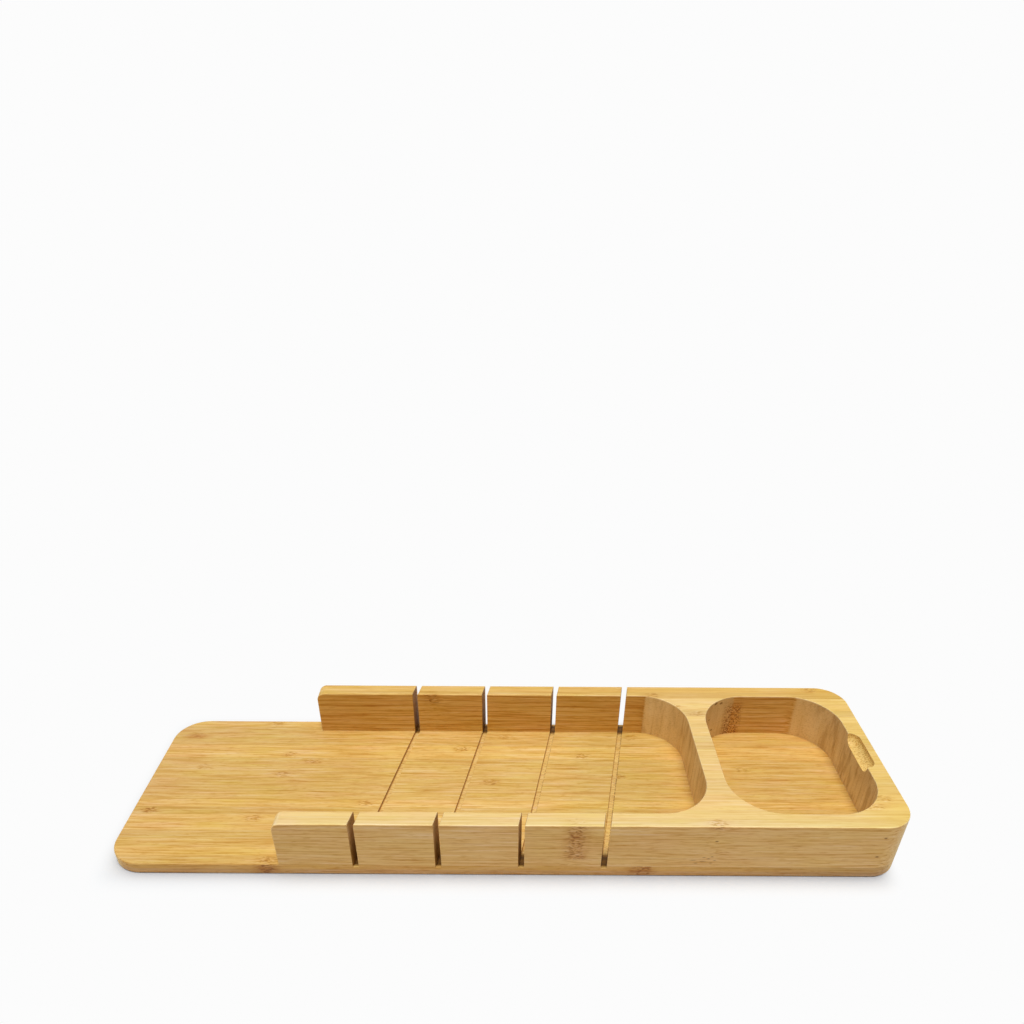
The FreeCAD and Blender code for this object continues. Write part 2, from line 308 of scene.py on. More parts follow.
class Bamboo:
    """The patterns of side-pressed bamboo, as sockets of one material's node tree.

    Strips stand on edge beside each other, so tops show them about 7.5 mm wide and the long
    sides show one strip's broad face. The fibres run along X right through the wood, so lines,
    knuckles and end grain agree wherever a face cuts them. All lengths are in millimetres.
    """

    def __init__(self, tree, settings, stock):
        self.tree = tree
        self.settings = settings
        self.stock = stock
        self.fibre = settings.fibre_width / MM
        place = add(tree, "ShaderNodeTexCoord", {}, [], "Object")
        self.place = add(tree, *SCALE, {0: place, "Scale": 1 / MM})
        self.x, self.y, self.z = add(tree, *SPLIT, [self.place]).node.outputs
        self.depth = add(tree, *ABSOLUTE, [self.y])
        self.find_faces()
        self.lay_strips()
        self.grow_knuckles()
        self.bend_fibres()
        self.comb_fibres()
        self.find_ends()
        self.find_cuts()

    def find_faces(self):
        """How squarely a face looks along each axis, and where tops, sides and the front are."""
        tree = self.tree
        normal = add(tree, "ShaderNodeNewGeometry", {}, [], "Normal")
        normal = add(tree, *FOLD, [normal])
        self.end_on, self.side_on, self.flat_on = add(tree, *SPLIT, [normal]).node.outputs
        self.flat = add(tree, *SMOOTH, [self.flat_on, 0.5, 0.8])
        self.broad = add(tree, *SMOOTH, [self.side_on, 0.4, 0.8])
        self.front = add(tree, *SMOOTH, [self.y, FRONT + 5, FRONT + 3, 0, self.broad])

    def lay_strips(self):
        """Number the strips, and find each one's tone and the distance to its seams in widths."""
        tree = self.tree
        width = round(self.settings.strip_width / MM, 3)
        run = add(tree, *OVER, [add(tree, *MINUS, [self.y, FRONT]), width])
        self.strip = add(tree, *WHOLE, [run])
        self.seam = add(tree, *ZIGZAG, [add(tree, *FRACTION, [run]), 0.5])
        rear_strips = -FRONT - 2 * width
        self.rear = add(tree, *SMOOTH, [self.y, rear_strips - 0.1, rear_strips + 0.1])
        # Stocks of one seed share their strips, as the rails and the end frame do.
        code = add(tree, *PLUS, [self.strip, self.stock.seed * 100.5])
        noise = {"noise_dimensions": "1D"}
        self.random = add(tree, "ShaderNodeTexWhiteNoise", noise, {"W": code}, "Color")
        self.tone, _, self.darkness = add(tree, *SPLIT, [self.random]).node.outputs

    def grow_knuckles(self):
        """Find the distance to the strip's nearest knuckle, and the height above its lower end.

        A ramp holds one stop for each strip. Its red, green and blue are the knuckles' places,
        and its alpha is the height.
        """
        tree = self.tree
        strips = max(1, math.ceil((CAD_BOX[1].y - CAD_BOX[0].y) / self.settings.strip_width))
        length = 2 * RIGHT
        share = add(tree, *TIMES_PLUS, [self.strip, 1 / strips, 0.5 / strips])
        rows = add(tree, "ShaderNodeValToRGB", {}, [share])
        ramp = rows.node.color_ramp
        ramp.interpolation = "CONSTANT"
        for strip, (places, end) in enumerate(knuckle_rows(self.stock, strips)):
            if strip < len(ramp.elements):
                stop = ramp.elements[strip]
                stop.position = strip / strips
            else:
                stop = ramp.elements.new(strip / strips)
            stop.color = (*(place / length / 2 + 0.5 for place in places), end / TOP)
        nearest = None
        for fraction in add(tree, "ShaderNodeSeparateColor", {}, [rows]).node.outputs:
            knuckle = add(tree, *TIMES_PLUS, [fraction, 2 * length, -length])
            away = add(tree, *ABSOLUTE, [add(tree, *MINUS, [self.x, knuckle])])
            nearest = add(tree, *LEAST, [nearest, away]) if nearest else away
        self.from_knuckle = nearest
        end = add(tree, *TIMES, [rows.node.outputs["Alpha"], -TOP])
        self.above_end = add(tree, *PLUS, [self.z, end])

    def grain(self, along, wide, tall=None, detail=1.0, straight=False, salt=0.0):
        """Noise that is long along the fibres, different in each strip and for each salt."""
        tree = self.tree
        y, z = (self.y, self.z) if straight else (self.bent_y, self.bent_z)
        sizes = zip((self.x, y, z), (along, wide, tall or wide))
        place = add(tree, *JOIN, [add(tree, *OVER, pair) for pair in sizes])
        # Each strip and salt gets an offset of its own, so that no two patterns match.
        own = add(tree, *SCALE, {0: self.random, "Scale": 90 + salt})
        place = add(tree, *MOVE, [place, own])
        return add(tree, *NOISE, {"Vector": place, "Scale": 1, "Detail": detail})

    def upright(self, wide, tall, detail=1.0):
        """Noise that is long up and down, as a router leaves it on a wall."""
        tree = self.tree
        sizes = zip((self.x, self.y, self.z), (wide, wide, tall))
        place = add(tree, *JOIN, [add(tree, *OVER, pair) for pair in sizes])
        return add(tree, *NOISE, {"Vector": place, "Scale": 1, "Detail": detail})

    def bend_fibres(self):
        """Fibres swerve by a millimetre or so beside a knuckle, and hardly elsewhere."""
        tree = self.tree
        swirl = self.grain(11, 4, straight=True).node.outputs["Color"]
        swirl = add(tree, *MOVE, [swirl, (-0.5, -0.5, -0.5)])
        reach = add(tree, *SMOOTH, [self.from_knuckle, 1, 14, 3.6, 0.25])
        swirl = add(tree, *SCALE, {0: swirl, "Scale": reach})
        _, bend_y, bend_z = add(tree, *SPLIT, [swirl]).node.outputs
        self.bent_y = add(tree, *PLUS, [self.y, bend_y])
        self.bent_z = add(tree, *PLUS, [self.z, bend_z])

    def comb_fibres(self):
        """Lines and fine lines of fibre, short dashes, and the speckle of cut ends."""
        fibre, reach = self.fibre, self.stock.reach
        self.lines = self.grain(46 * reach, 1.8 * fibre, 1.7 * fibre, 1.5)
        self.fine = self.grain(30 * reach, fibre, salt=31)
        self.dashes = self.grain(8 * reach, 0.9 * fibre, salt=43)
        self.speckle = self.grain(2.5, fibre, straight=True, salt=3)

    def find_ends(self):
        """Where a face turns across the fibres: sharply on routed walls, gradually elsewhere.

        Routed are the inner walls of the end frame, down to the base board.
        """
        tree, x = self.tree, self.x
        last_cut = FIRST_CUT + (CUTS - 1) * CUT_STEP
        turned = add(tree, *SMOOTH, [self.flat_on, 0.75, 0.4, 0, self.end_on])
        turned = add(tree, *TIMES_PLUS, [self.speckle, 0.10, turned])
        routed = add(tree, *SMOOTH, [self.depth, BED_HALF - 9, BED_HALF - 11])
        before_corners = add(tree, *SMOOTH, [x, WELL_RIGHT - 7, WELL_RIGHT - 9])
        routed = add(tree, *MOST, [routed, before_corners])
        routed = add(tree, *SMOOTH, [x, RIGHT - 4, RIGHT - 6, 0, routed])
        routed = add(tree, *SMOOTH, [x, last_cut - 3.5, last_cut - 2.5, 0, routed])
        self.routed = add(tree, *SMOOTH, [self.z, BASE_TOP - 0.2, BASE_TOP, 0, routed])
        # The well's far wall has to turn a little further before it shows its ends.
        far_wall = add(tree, *SMOOTH, [x, WELL_RIGHT - 38, WELL_RIGHT - 31])
        sharp_start = add(tree, *SMOOTH, [far_wall, 0, 1, 0.20, 0.30])
        sharp_end = add(tree, *SMOOTH, [far_wall, 0, 1, 0.245, 0.37])
        start = add(tree, *SMOOTH, [self.routed, 0, 1, 0.35, sharp_start])
        end = add(tree, *SMOOTH, [self.routed, 0, 1, 1.0, sharp_end])
        self.turned = add(tree, *SMOOTH, [turned, start, end])

    def find_cuts(self):
        """Where the saw went: the walls and floor of its slots and grooves.

        The cut's number, from 0 at the left, has a fraction between the cuts.
        """
        tree = self.tree
        run = add(tree, *TIMES_PLUS, [self.y, -CUT_SLANT, self.x])
        run = add(tree, *MINUS, [run, FIRST_CUT - FRONT * CUT_SLANT])
        self.cut_number = add(tree, *OVER, [run, CUT_STEP])
        inside = add(tree, *WITHIN, [self.cut_number, (CUTS - 1) / 2, CUTS / 2])
        right = add(tree, *FRACTION, [add(tree, *PLUS, [self.cut_number, 0.5])])
        self.right_of_cut = add(tree, *TIMES, [add(tree, *MINUS, [right, 0.5]), CUT_STEP])
        self.beside_cut = add(tree, *ABSOLUTE, [self.right_of_cut])
        near = add(tree, *SMOOTH, [self.beside_cut, 0.62 * KERF, 0.55 * KERF, 0, inside])
        wall = add(tree, *SMOOTH, [self.end_on, 0.45, 0.6, 0, near])
        self.cut_wall = add(tree, *SMOOTH, [self.z, BASE_TOP - 3.5, BASE_TOP - 2.5, 0, wall])
        low = add(tree, *WITHIN, [self.z, BASE_TOP - 1.1, 1.0])
        low = add(tree, *TIMES, [low, near])
        self.cut_floor = add(tree, *SMOOTH, [self.flat_on, 0.6, 0.7, 0, low])
        self.in_slot = add(tree, *SMOOTH, [self.depth, BED_HALF - 0.5, BED_HALF + 0.5])

    def marked(self, marks):
        """1 in the middle of each pit, dash or smear."""
        tree = self.tree
        deepest = None
        for x, y, z, radius, longer in marks:
            place = add(tree, *STRETCH_ALONG, [self.place, (1 / longer, 1, 1)])
            away = add(tree, *DISTANCE, [place, (x / longer, y, z)], "Value")
            dark = add(tree, *SMOOTH, [away, radius, 0.2 * radius])
            deepest = add(tree, *MOST, [deepest, dark]) if deepest else dark
        return deepest


def tone_strips(wood, colours):
    """Each strip has its own tone, the rearmost two are deeper, and all have soft patches."""
    tree, x, front = wood.tree, wood.x, wood.front
    colour, rear_colour = colours
    skin = {0: wood.rear, MIX_A: (*colour, 1), MIX_B: (*rear_colour, 1)}
    skin = add(tree, *COVER, skin, MIX_RESULT)
    tone = add(tree, *SMOOTH, [wood.tone, 0.0, 1.0, 0.93, 1.06])
    skin = add(tree, *SCALE, {0: skin, "Scale": tone})
    lower = add(tree, *SMOOTH, [wood.z, CULM_LAYER + 0.5, CULM_LAYER - 0.5, 0, front])
    # The sides are bluer from the well on, but not the front.
    right_sides = add(tree, *SMOOTH, [x, 150, 180, 0, wood.broad])
    right_front = add(tree, *SMOOTH, [x, 150, 180, 0, front])
    # Pinkish and yellow-green patches, weaker on the front.
    patch = wood.grain(34, 9, 14)
    patchy = add(tree, *SMOOTH, [front, 0, 1, 0.3 + 0.7 * wood.stock.calm[1], 0.5])
    layers = (
        (wood.broad, (1.05, 1.00, 0.94)),
        (right_sides, (1.01, 1.05, 1.28)),
        (right_front, (0.99, 0.953, 0.78)),
        (front, (0.935, 0.875, 0.85)),
        (lower, (0.885, 0.875, 1.20)),
        (add(tree, *SMOOTH, [patch, 0.50, 0.72, 0, patchy]), (1.015, 0.985, 1.10)),
        (add(tree, *SMOOTH, [patch, 0.48, 0.28, 0, patchy]), (0.985, 1.01, 0.88)),
    )
    return stain(tree, skin, layers)


def shade_base_board(wood):
    """Paler in the middle and at the left end, darker at the bed's end and under the frame.

    The places are from the photograph.
    """
    tree, x, flat = wood.tree, wood.x, wood.flat
    middle = add(tree, *ABSOLUTE, [add(tree, *PLUS, [x, 20])])
    middle = add(tree, *SMOOTH, [middle, 110, 60, 0, flat])
    left_end = add(tree, *SMOOTH, [x, -195, -240, 0, flat])
    bed_end = add(tree, *ABSOLUTE, [add(tree, *MINUS, [x, 85])])
    bed_end = add(tree, *SMOOTH, [bed_end, 50, 25, 0, flat])
    under_frame = add(tree, *SMOOTH, [x, 100, 240, 0, wood.front])
    return (
        (middle, (1.06, 1.09, 1.18)),
        (left_end, (1.00, 0.99, 1.11)),
        (bed_end, (0.96, 1.00, 1.00)),
        (under_frame, (0.82, 0.84, 0.90)),
    )


def tint_and_highlight_rails_and_frame(wood):
    """Painted highlights where the edges catch the light; the top is paler near the front and
    deeper at the far right.
    """
    tree, x, y, z, flat = wood.tree, wood.x, wood.y, wood.z, wood.flat
    # A painted highlight along the front edge of the top.
    edge = add(tree, *SMOOTH, [y, FRONT + 4.7, FRONT + 3.3, 0, flat])
    far_right = add(tree, *SMOOTH, [x, 210, 246, 0, flat])
    # A painted highlight on the eased upper edge, which fades out at the rails' free ends.
    arris_highlight = add(tree, *SMOOTH, [wood.flat_on, 0.98, 0.85])
    arris_highlight = add(tree, *SMOOTH, [wood.flat_on, 0.2, 0.45, 0, arris_highlight])
    arris_highlight = add(tree, *SMOOTH, [z, TOP - 1.2, TOP - 0.9, 0, arris_highlight])
    arris_highlight = add(tree, *SMOOTH, [x, RAIL_START, RAIL_START + 6, 0, arris_highlight])
    under = add(tree, *SMOOTH, [z, TOP - 2.0, TOP - 1.2, 0, wood.front])
    # A painted highlight on the rims. The front rim is bright all along, and the rear rail's inner
    # one
    # where it is straight: not between the bed and the well, nor at the well's right corner.
    curve_middle, curve_half = WELL_LEFT - 6, 39
    straight = add(tree, *ABSOLUTE, [add(tree, *MINUS, [x, curve_middle])])
    straight = add(tree, *SMOOTH, [straight, curve_half - 3, curve_half + 3, 0, flat])
    straight = add(tree, *SMOOTH, [x, WELL_RIGHT - 25, WELL_RIGHT - 33, 0, straight])
    inner_rim = add(tree, *WITHIN, [y, BED_HALF + 0.3, 1.1])
    inner_rim = add(tree, *TIMES, [inner_rim, straight])
    front_rim = add(tree, *SMOOTH, [y, FRONT + 1.5, FRONT + 0.8, 0, flat])
    rim_highlights = add(tree, *MOST, [inner_rim, front_rim])
    near_front = add(tree, *SMOOTH, [y, FRONT + 17, FRONT + 9, 0, flat])
    return (
        (near_front, (1.04, 1.08, 1.11)),
        (rim_highlights, (1.10, 1.13, 1.14)),
        (edge, (1.02, 1.05, 1.14)),
        (far_right, (0.98, 0.97, 0.73)),
        (arris_highlight, (1.12, 1.22, 1.50)),
        (under, (0.88, 0.82, 0.70)),
    )


BASE_STOCK = Stock(
    shade=shade_base_board,
    knuckles=BASE_KNUCKLES,
    spare=0,
    seed=1,
    calm=(1, 1),
    top_knots=1,
    reach=0.8,
    marks=SMEARS,
    mark_tint=(0.84, 0.68, 0.52),
)
RAIL_STOCK = Stock(
    shade=tint_and_highlight_rails_and_frame,
    knuckles=RAIL_KNUCKLES,
    spare=0.1,
    seed=2,
    calm=(0.36, 0.75),
    top_knots=0.35,
    reach=1,
)
FRAME_STOCK = Stock(
    shade=tint_and_highlight_rails_and_frame,
    knuckles=FRAME_KNUCKLES,
    spare=0.1,
    seed=2,
    calm=(0.45, 0.50),
    top_knots=0.9,
    reach=1,
    marks=PITS,
    mark_tint=(0.34, 0.24, 0.16),
)


def draw_fibres(wood, skin):
    """Long grain: broad bands, then lines and fine lines of fibres, and short dashes."""
    tree, front, broad = wood.tree, wood.front, wood.broad
    fibre, reach = wood.fibre, wood.stock.reach
    vivid = add(tree, *SMOOTH, [wood.y, FRONT + 13, FRONT + 17, *wood.stock.calm])
    vivid = add(tree, *MOST, [vivid, add(tree, *SMOOTH, [broad, 0, 1, 0, 1.1])])
    front_lines = add(tree, *SMOOTH, [wood.x, 90, 104, 0.75, 0.5])
    vivid_lines = add(tree, *SMOOTH, [front, 0, 1, vivid, front_lines])
    bands = wood.grain(110 * reach, 6 * fibre, 30 * fibre)
    long_lines = wood.grain(120 * reach, 1.3 * fibre, 1.2 * fibre, salt=57)
    banded = add(tree, *SMOOTH, [broad, 0, 1, 0.30, 0.12])
    line_dark = add(tree, *TIMES, [vivid_lines, 0.68])
    line_pale = add(tree, *TIMES, [vivid_lines, 0.75])
    fine_dark = add(tree, *TIMES, [vivid, 0.68])
    fine_pale = add(tree, *TIMES, [vivid, 0.35])
    long_dark = add(tree, *SMOOTH, [front, 0, 1, add(tree, *TIMES, [vivid, 0.8]), 0.9])
    dash_dark = add(tree, *TIMES, [vivid, 0.55])
    layers = (
        (add(tree, *SMOOTH, [bands, 0.45, 0.25, 0, banded]), DARKER),
        (add(tree, *SMOOTH, [bands, 0.55, 0.75, 0, banded]), PALER),
        (add(tree, *SMOOTH, [wood.lines, 0.50, 0.30, 0, line_dark]), DARKER),
        (add(tree, *SMOOTH, [wood.lines, 0.54, 0.72, 0, line_pale]), PALER),
        (add(tree, *SMOOTH, [wood.fine, 0.48, 0.30, 0, fine_dark]), DARKER),
        (add(tree, *SMOOTH, [wood.fine, 0.54, 0.72, 0, fine_pale]), PALER),
        (add(tree, *SMOOTH, [long_lines, 0.36, 0.24, 0, long_dark]), DARKER),
        (add(tree, *SMOOTH, [wood.dashes, 0.46, 0.30, 0, dash_dark]), DARKER),
    )
    return stain(tree, skin, layers)


def draw_joins(wood, skin):
    """The culm's layers on the broad faces, strongest at the rear, and glue lines on the tops."""
    tree = wood.tree
    layer = add(tree, *TIMES_PLUS, [wood.grain(60, 12, 9, salt=13), 5.0, wood.z])
    layer = add(tree, *ZIGZAG, [add(tree, *OVER, [layer, CULM_LAYER]), 0.5])
    layered = add(tree, *SMOOTH, [wood.rear, 0, 1, 0.25, 0.95])
    layered = add(tree, *TIMES, [layered, wood.broad])
    # Glue lines are broken along their length.
    broken = add(tree, *SMOOTH, [wood.grain(60, 8, straight=True), 0.45, 0.60, 0, 0.6])
    glued = add(tree, *TIMES, [wood.flat, broken])
    layers = (
        (add(tree, *SMOOTH, [layer, 0.16, 0.03, 0, layered]), DARKER),
        (add(tree, *SMOOTH, [wood.seam, 0.07, 0.0, 0, glued]), DARKER),
    )
    return stain(tree, skin, layers)


def cut_ends(wood, skin):
    """End grain: the router's upright streaks, mottling, blotches, and dots of the bundles."""
    tree, x = wood.tree, wood.x
    # Streaks are strongest on walls square to the fibres, except the outer end and the bed's.
    streaks = wood.upright(3.2, 45, 1.5)
    streaky = add(tree, *SMOOTH, [wood.end_on, 0.85, 0.99, 0.35, 0.95])
    streaky = add(tree, *SMOOTH, [x, RIGHT - 5, RIGHT - 3, streaky, 0.45])
    bed_wall = add(tree, *WITHIN, [x, WELL_LEFT - 29, 17])
    streaky = add(tree, *SMOOTH, [bed_wall, 0, 1, streaky, 0.5])
    well_left = add(tree, *WITHIN, [x, WELL_LEFT + 16.5, 16.5])
    well_right = add(tree, *SMOOTH, [x, WELL_RIGHT - 21, WELL_RIGHT - 3, 0, wood.routed])
    mottle = wood.upright(6, 24, 2)
    mottled = add(tree, *MOST, [well_right, add(tree, *TIMES, [bed_wall, 0.55])])
    blotch = wood.upright(16, 22)
    layers = (
        (well_left, (0.86, 0.84, 0.82)),
        (well_right, (0.97, 1.02, 1.14)),
        (add(tree, *SMOOTH, [mottle, 0.50, 0.34, 0, mottled]), (0.77, 0.71, 0.63)),
        (add(tree, *SMOOTH, [mottle, 0.54, 0.68, 0, mottled]), (1.05, 1.08, 1.16)),
        (add(tree, *SMOOTH, [blotch, 0.50, 0.25, 0, 0.7]), (0.86, 0.78, 0.66)),
        (add(tree, *SMOOTH, [blotch, 0.50, 0.75, 0, 0.7]), (1.05, 1.08, 1.18)),
        (add(tree, *SMOOTH, [streaks, 0.48, 0.27, 0, streaky]), (0.74, 0.63, 0.52)),
        (add(tree, *SMOOTH, [streaks, 0.52, 0.72, 0, 0.5]), (1.08, 1.10, 1.18)),
        (add(tree, *SMOOTH, [wood.speckle, 0.50, 0.68, 0, 0.4]), (0.74, 0.66, 0.54)),
        (add(tree, *SMOOTH, [wood.speckle, 0.46, 0.30, 0, 0.4]), (1.08, 1.10, 1.18)),
    )
    cut = stain(tree, (*wood.settings.end_colour, 1.0), layers)
    return add(tree, *COVER, {0: wood.turned, MIX_A: skin, MIX_B: cut}, MIX_RESULT)


def dot_bundles(wood, skin, colour):
    """The finger notch, cut across the fibres too, and the well's rear left corner show dots."""
    tree, x, y, z = wood.tree, wood.x, wood.y, wood.z
    scoop_middle, scoop_half = (NOTCH_RIGHT + WELL_RIGHT) / 2, (NOTCH_RIGHT - WELL_RIGHT) / 2
    scoop = add(tree, *WITHIN, [x, scoop_middle, scoop_half + 0.2])
    scoop = add(tree, *SMOOTH, [wood.depth, 40, 38, 0, scoop])
    scoop = add(tree, *SMOOTH, [z, TOP - 0.2, TOP - 0.5, 0, scoop])
    scoop = add(tree, *SMOOTH, [x, WELL_RIGHT, WELL_RIGHT + 0.5, 0, scoop])
    yellow = (colour[0], 0.97 * colour[1], 0.80 * colour[2], 1)
    skin = add(tree, *COVER, {0: scoop, MIX_A: skin, MIX_B: yellow}, MIX_RESULT)
    # The scoop's steep sides are painted lighter, a painted fill light against their shade.
    steep_fill_light = add(tree, *SMOOTH, [wood.flat_on, 0.8, 0.4, 0, scoop])
    # A knuckle meets the corner of the well, most of all below its upper edge.
    corner = add(tree, *ABSOLUTE, [add(tree, *MINUS, [x, WELL_LEFT + 28.5])])
    corner_rear = add(tree, *SMOOTH, [y, BED_HALF - 9, BED_HALF - 7])
    corner = add(tree, *SMOOTH, [corner, 8.5, 4, 0, corner_rear])
    corner = add(tree, *SMOOTH, [wood.flat, 0.5, 0.1, 0, corner])
    corner = add(tree, *SMOOTH, [y, BED_HALF + 0.5, BED_HALF + 0.1, 0, corner])
    corner_low = add(tree, *SMOOTH, [z, TOP - 3.5, TOP - 12.5, 0, corner])
    dots = wood.upright(1.2 * wood.fibre, 1.2 * wood.fibre)
    layers = (
        (add(tree, *SMOOTH, [dots, 0.52, 0.32, 0, scoop]), (0.74, 0.63, 0.44)),
        (add(tree, *SMOOTH, [dots, 0.52, 0.70, 0, scoop]), (1.08, 1.15, 1.30)),
        (steep_fill_light, (1.05, 1.07, 1.06)),
        (corner, (0.95, 0.91, 0.86)),
        (corner_low, (0.92, 0.86, 0.80)),
        (add(tree, *SMOOTH, [dots, 0.52, 0.38, 0, corner_low]), (0.50, 0.34, 0.21)),
        (add(tree, *SMOOTH, [dots, 0.55, 0.68, 0, corner_low]), (1.15, 1.24, 1.45)),
    )
    return stain(tree, skin, layers)


def draw_knuckles(wood, skin):
    """Knuckles: a soft brown cloud that tapers into the strip, dark dashes and pale flecks."""
    tree, flat, fibre, stock = wood.tree, wood.flat, wood.fibre, wood.stock
    ragged = add(tree, *TIMES_PLUS, [wood.grain(4, 1.5 * fibre, salt=7), 8, -4])
    off = add(tree, *PLUS, [wood.from_knuckle, ragged])
    taper = add(tree, *TIMES_PLUS, [wood.from_knuckle, 0.022, -0.02])
    inner = add(tree, *SMOOTH, [add(tree, *MINUS, [wood.seam, taper]), 0.02, 0.22])
    inner = add(tree, *MOST, [inner, wood.broad])
    strength = add(tree, *SMOOTH, [wood.darkness, 0.0, 1.0, 0.6, 1.0])
    strength = add(tree, *SMOOTH, [wood.above_end, -4, 0, 0, strength])
    strength = add(tree, *TIMES, [inner, strength])
    on_top = add(tree, *SMOOTH, [flat, 0, 1, 1, stock.top_knots])
    strength = add(tree, *TIMES, [strength, on_top])
    strength = add(tree, *SMOOTH, [wood.turned, 0, 1, strength, 0])
    cloud = add(tree, *SMOOTH, [wood.fine, 0.72, 0.30, 0.3, 1.0])
    cloud = add(tree, *TIMES, [cloud, strength])
    heart = add(tree, *SMOOTH, [off, 6.8, 2.6, 0, strength])
    flecks = wood.grain(3.2, fibre, salt=19)
    # Golden on the tops and brown on the sides.
    brown = add(tree, *SMOOTH, [flat, 1, 0, 0, cloud])
    golden = add(tree, *SMOOTH, [flat, 0, 1, 0, cloud])
    heart_brown = add(tree, *SMOOTH, [flat, 1, 0, 0, heart])
    heart_golden = add(tree, *SMOOTH, [flat, 0, 1, 0, heart])
    layers = [
        (add(tree, *SMOOTH, [off, 12, 2, 0, brown]), (0.76, 0.60, 0.40)),
        (add(tree, *SMOOTH, [off, 12, 2, 0, golden]), (0.89, 0.79, 0.62)),
        (add(tree, *SMOOTH, [flecks, 0.50, 0.62, 0, heart_brown]), KNOT),
        (add(tree, *SMOOTH, [flecks, 0.50, 0.62, 0, heart_golden]), (0.69, 0.55, 0.34)),
        (add(tree, *SMOOTH, [flecks, 0.46, 0.34, 0, heart]), PALER),
    ]
    if stock.marks:
        layers.append((wood.marked(stock.marks), stock.mark_tint))
    return stain(tree, skin, layers)


def scorch_walls(wood, skin):
    """Slot walls go from tan at the top to scorched below, with painted shade deeper down, and
    grooves have tan sides.
    """
    tree, settings = wood.tree, wood.settings
    sawn, scorch_and_shade = (*settings.sawn_colour, 1), (*settings.scorch_and_shade_colour, 1)
    # Painted shade and the saw's scorch deepen together towards the slot's floor.
    down = add(tree, *SMOOTH, [wood.z, TOP - 3.5, BASE_TOP + 4.5])
    sides = add(tree, *COVER, {0: down, MIX_A: sawn, MIX_B: scorch_and_shade}, MIX_RESULT)
    ripples = wood.grain(9, 3, 1.6, straight=True, salt=71)
    # A painted light on the walls near the rail's outer face, where the slot opens.
    outside = add(tree, *SMOOTH, [wood.depth, -FRONT - 3.5, -FRONT - 0.5, 0, 0.6])
    layers = (
        (add(tree, *SMOOTH, [ripples, 0.48, 0.30, 0, 0.6]), DARKER),
        (add(tree, *SMOOTH, [ripples, 0.52, 0.72, 0, 0.6]), PALER),
        (outside, (1.40, 1.42, 1.30)),
    )
    sides = stain(tree, sides, layers)
    skin = add(tree, *COVER, {0: wood.cut_wall, MIX_A: skin, MIX_B: sides}, MIX_RESULT)
    groove_side = add(tree, *SMOOTH, [wood.in_slot, 1, 0, 0, wood.cut_wall])
    return add(tree, *COVER, {0: groove_side, MIX_A: skin, MIX_B: sawn}, MIX_RESULT)


def scorch_floors(wood, skin, colour):
    """Slot floors are scorched, with painted shade, darkest in the middle of the rail and by the
    walls; grooves have reddish edges of painted shade and the saw's burnish.
    """
    tree, depth, floor = wood.tree, wood.depth, wood.cut_floor
    outer, right = -FRONT, wood.right_of_cut
    rail_middle = (BED_HALF + outer) / 2
    scorch_and_shade = (*wood.settings.scorch_and_shade_colour, 1)
    under_rail = add(tree, *SMOOTH, [depth, BED_HALF - 1.0, BED_HALF + 1.5])
    under_rail = add(tree, *SMOOTH, [depth, outer - 0.4, outer - 3.0, 0, under_rail])
    under_rail = add(tree, *TIMES, [under_rail, floor])
    skin = add(tree, *COVER, {0: under_rail, MIX_A: skin, MIX_B: scorch_and_shade}, MIX_RESULT)
    off_middle = add(tree, *ABSOLUTE, [add(tree, *MINUS, [depth, rail_middle])])
    # Painted shade with the scorch: darkest a few millimetres either side of the rail's middle,
    # lighter at the middle itself.
    blackest = add(tree, *SMOOTH, [off_middle, 4.6, 3.0, 0, under_rail])
    blackest = add(tree, *SMOOTH, [off_middle, 0.0, 2.6, 0, blackest])
    charred_and_shaded_side = add(tree, *SMOOTH, [wood.beside_cut, 0.9, 1.7, 0, under_rail])
    in_bed = add(tree, *SMOOTH, [wood.in_slot, 1, 0, 0, floor])
    fresh = {0: add(tree, *TIMES, [in_bed, 0.4]), MIX_A: skin, MIX_B: (*colour, 1)}
    skin = add(tree, *COVER, fresh, MIX_RESULT)
    # The left edge's painted shade and burnish is a whole line at the first two cuts, and broken
    # at the others.
    first_two = add(tree, *SMOOTH, [wood.cut_number, 1.6, 1.4])
    left_edge_shade_and_burnish = add(tree, *SMOOTH, [wood.dashes, 0.38, 0.52, 0.45, 1])
    left_edge_shade_and_burnish = add(tree, *SMOOTH, [first_two, 0, 1, left_edge_shade_and_burnish, 0.9])
    left_edge_shade_and_burnish = add(tree, *TIMES, [left_edge_shade_and_burnish, in_bed])
    right_edge_shade_and_burnish = add(tree, *SMOOTH, [wood.dashes, 0.39, 0.53, 0, in_bed])
    layers = (
        (in_bed, (1.06, 1.12, 1.28)),
        (blackest, (0.56, 0.56, 0.30)),
        (charred_and_shaded_side, (0.55, 0.50, 0.30)),
        (add(tree, *SMOOTH, [wood.speckle, 0.48, 0.62, 0, in_bed]), (0.84, 0.76, 0.70)),
        (add(tree, *SMOOTH, [right, -1.0, -1.7, 0, left_edge_shade_and_burnish]), (0.56, 0.41, 0.24)),
        (add(tree, *SMOOTH, [right, 1.0, 1.7, 0, right_edge_shade_and_burnish]), (0.40, 0.30, 0.20)),
    )
    return stain(tree, skin, layers)


def sand_and_oil(wood, skin):
    """A satin surface, with relief from the fibres that is deeper where cut ends stand open."""
    tree = wood.tree
    height = add(tree, *TIMES_PLUS, [wood.lines, 0.6, wood.fine])
    open_ends = add(tree, *TIMES, [wood.turned, 1.6])
    height = add(tree, *TIMES_PLUS, [wood.speckle, open_ends, height])
    relief = {"Strength": 0.3, "Distance": 0.05 * MM, "Height": height}
    roughness = add(tree, *SMOOTH, [wood.lines, 0.25, 0.75, 0.60, 0.46])
    roughness = add(tree, *TIMES_PLUS, [wood.turned, 0.16, roughness])
    shader = {
        "Base Color": skin,
        "Roughness": roughness,
        "IOR": 1.5,
        "Specular IOR Level": 0.35,
        "Normal": add(tree, "ShaderNodeBump", {}, relief),
    }
    return add(tree, "ShaderNodeBsdfPrincipled", {}, shader)


